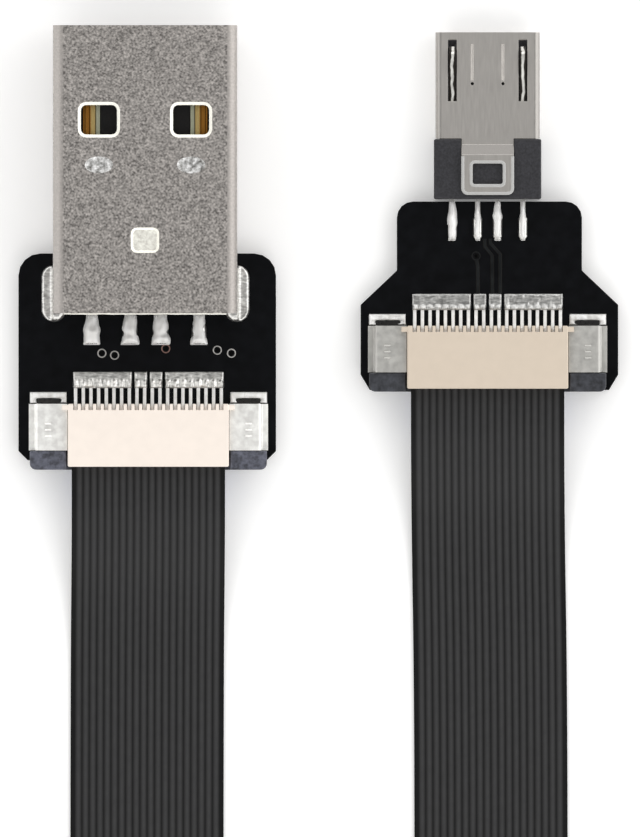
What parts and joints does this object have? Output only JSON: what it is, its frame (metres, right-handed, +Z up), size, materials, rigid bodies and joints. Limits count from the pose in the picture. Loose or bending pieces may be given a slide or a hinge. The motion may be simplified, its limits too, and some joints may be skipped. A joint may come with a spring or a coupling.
{
  "type": "flat flex usb cable",
  "caption": "Short USB cable: a USB-A plug and a Micro-B plug on small black boards, joined by a flat black ribbon that locks into a slide connector on each board.",
  "frame": {"origin": "on the ground under the middle of the box round the two plug ends, the ribbon left out", "axes": "+Y from the boards to the tips of the plugs, +X from the USB-A end to the Micro-B end, +Z up from the boards' undersides"},
  "size_m": [0.0392, 0.1119, 0.01],
  "materials": {
    "usb_a_shell_nickel": "matte nickel plate, fine rolled grain",
    "micro_b_shell_steel": "smooth satin nickel plate",
    "solder": "bright solder",
    "gold_contact": "gold plate on copper alloy, tinned at the tails",
    "spring_steel": "bright spring steel",
    "black_board": "black solder mask on glass epoxy board",
    "black_insulator": "moulded black plastic",
    "grey_insulator": "moulded dark grey plastic",
    "cream_housing": "moulded cream nylon",
    "dark_slider": "moulded blue-grey plastic",
    "tinned_nail": "matte tin plate",
    "tinned_contact": "bright tin plate and solder",
    "blue_stiffener": "blue polyester tape",
    "black_ribbon": "black polyester film over flat conductors"
  },
  "bodies": {
    "root": {"connector_a_contacts_data_minus": "tinned_contact", "connector_a_contacts_data_plus": "tinned_contact", "connector_a_contacts_ground": "tinned_contact", "connector_a_contacts_power": "tinned_contact", "connector_a_housing": "cream_housing", "connector_a_nail_left": "tinned_nail", "connector_a_nail_right": "tinned_nail", "connector_a_stiffener": "blue_stiffener", "connector_b_contacts_data_minus": "tinned_contact", "connector_b_contacts_data_plus": "tinned_contact", "connector_b_contacts_ground": "tinned_contact", "connector_b_contacts_power": "tinned_contact", "connector_b_housing": "cream_housing", "connector_b_nail_left": "tinned_nail", "connector_b_nail_right": "tinned_nail", "connector_b_stiffener": "blue_stiffener", "flex_ribbon": "black_ribbon", "micro_b_board": "black_board", "micro_b_contact_1": "gold_contact", "micro_b_contact_2": "gold_contact", "micro_b_contact_3": "gold_contact", "micro_b_contact_4": "gold_contact", "micro_b_contact_5": "gold_contact", "micro_b_insulator": "grey_insulator", "micro_b_latch_left": "spring_steel", "micro_b_latch_right": "spring_steel", "micro_b_shell": "micro_b_shell_steel", "usb_a_board": "black_board", "usb_a_contact_1": "gold_contact", "usb_a_contact_2": "gold_contact", "usb_a_contact_3": "gold_contact", "usb_a_contact_4": "gold_contact", "usb_a_insulator": "black_insulator", "usb_a_leg_solder_left": "solder", "usb_a_leg_solder_right": "solder", "usb_a_shell": "usb_a_shell_nickel"},
    "lock_slider_a": {"connector_a_slider": "dark_slider"},
    "lock_slider_b": {"connector_b_slider": "dark_slider"}
  },
  "joints": [
    {"name": "lock_a_slide", "type": "slide", "parent": "root", "child": "lock_slider_a", "axis": [0, -1, 0], "range_m": [0, 0.0012]},
    {"name": "lock_b_slide", "type": "slide", "parent": "root", "child": "lock_slider_b", "axis": [0, -1, 0], "range_m": [0, 0.0012]}
  ]
}
